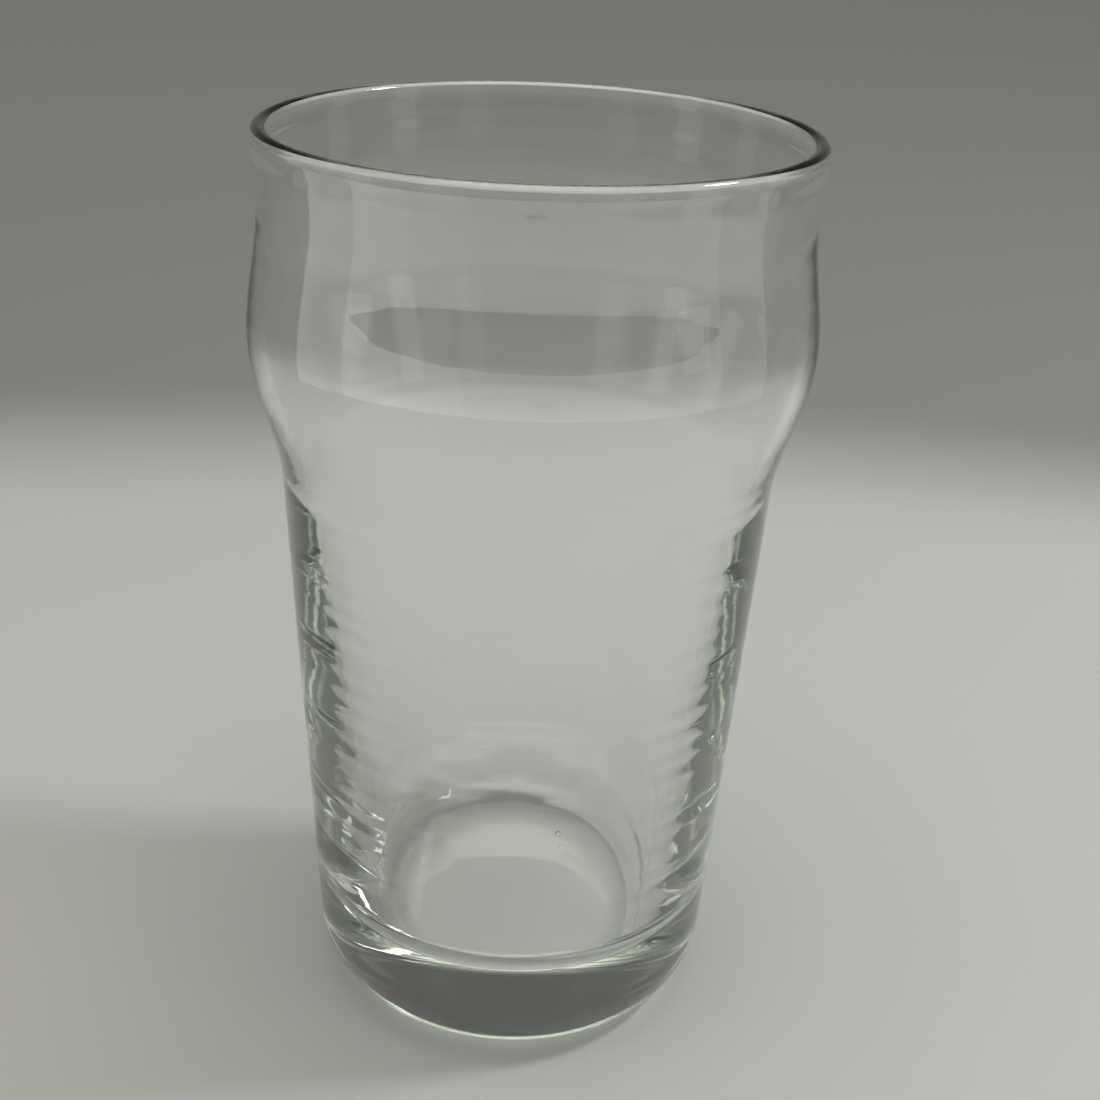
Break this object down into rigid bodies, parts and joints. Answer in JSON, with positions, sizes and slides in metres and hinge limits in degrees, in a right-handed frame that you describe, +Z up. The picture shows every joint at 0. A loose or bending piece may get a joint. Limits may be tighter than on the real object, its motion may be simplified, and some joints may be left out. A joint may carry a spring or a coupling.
{
  "type": "pint glass",
  "caption": "Tall clear drinking glass with a tapered body, a bulge below the rim and a thick rounded base.",
  "frame": {"origin": "centre of the foot ring, on the plane the glass stands on", "axes": "+Z up along the axis of the glass, from the foot to the mouth; X and Y are equivalent"},
  "size_m": [0.0914, 0.0914, 0.1525],
  "materials": {
    "glass": "clear, fire-polished, very faint grey-green"
  },
  "bodies": {
    "root": {"glass_body": "glass"}
  },
  "joints": []
}
